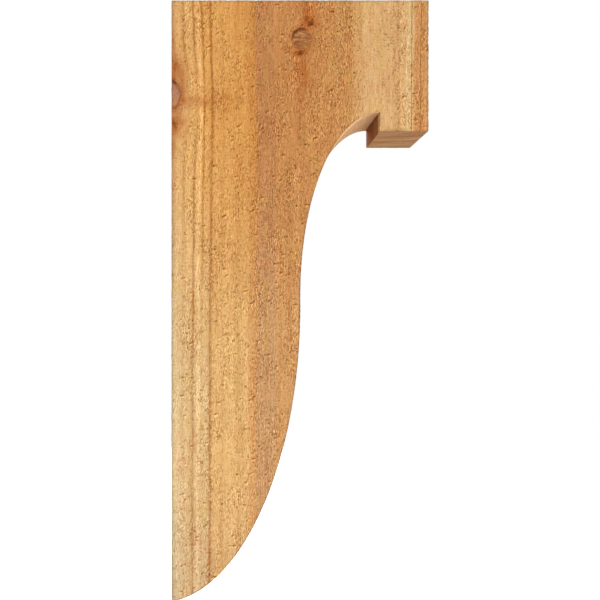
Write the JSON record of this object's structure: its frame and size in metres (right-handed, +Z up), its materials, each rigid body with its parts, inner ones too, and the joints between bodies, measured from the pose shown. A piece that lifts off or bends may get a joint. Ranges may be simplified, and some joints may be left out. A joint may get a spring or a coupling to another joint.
{
  "type": "corbel bracket",
  "caption": "Flat-sided wooden corbel bracket: a rough-sawn board cut to a long S-shaped outline, with a short square foot under its projecting nose.",
  "frame": {"origin": "middle of the upright face that lies against the wall", "axes": "+Z up along the wall, +X straight out from the wall towards the nose, Y across the board's thickness"},
  "size_m": [0.3048, 0.0888, 0.7112],
  "materials": {
    "rough_sawn_cedar": "unfinished, rough sawn"
  },
  "bodies": {
    "root": {"bracket": "rough_sawn_cedar"}
  },
  "joints": []
}
